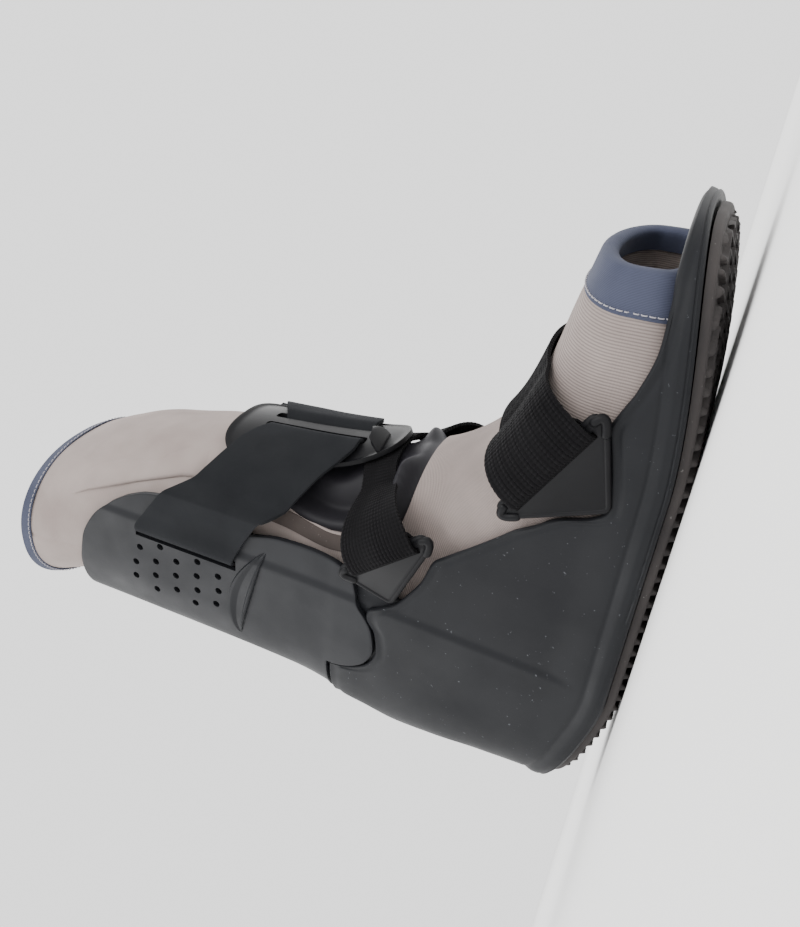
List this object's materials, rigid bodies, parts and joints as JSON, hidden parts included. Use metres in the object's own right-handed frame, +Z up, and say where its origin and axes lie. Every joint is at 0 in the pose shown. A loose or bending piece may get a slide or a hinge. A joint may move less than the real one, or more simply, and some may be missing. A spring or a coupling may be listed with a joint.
{
  "type": "fracture walker boot",
  "caption": "Fixed-ankle walker boot for the right foot: rocker rubber sole, moulded shell, calf cuff, soft open-toe liner, front plate and hook-and-loop straps over triangular loops.",
  "frame": {"origin": "on the ground under the middle of the foot, on the sole's flat, midway between its sides", "axes": "+X to the toe, +Y to the inner side of the right foot, +Z up the shaft"},
  "size_m": [0.3096, 0.126, 0.366],
  "materials": {
    "sole_rubber": "matt moulded rubber",
    "shell_plastic": "satin moulded polypropylene",
    "plate_plastic": "satin moulded plastic",
    "liner_fabric": "brushed knit over foam",
    "padding": "brushed fabric over soft foam",
    "footbed": "fabric-faced foam",
    "webbing": "woven elastic"
  },
  "bodies": {
    "root": {"outsole": "sole_rubber", "shell": "shell_plastic", "cuff": "shell_plastic", "liner": "liner_fabric", "tongue": "padding", "insole": "footbed", "front_plate": "plate_plastic", "calf_strap": "webbing", "foot_strap": "webbing", "ankle_strap": "webbing", "foot_loop_near": "plate_plastic", "foot_loop_far": "plate_plastic", "ankle_loop_near": "plate_plastic", "ankle_loop_far": "plate_plastic"}
  },
  "joints": []
}
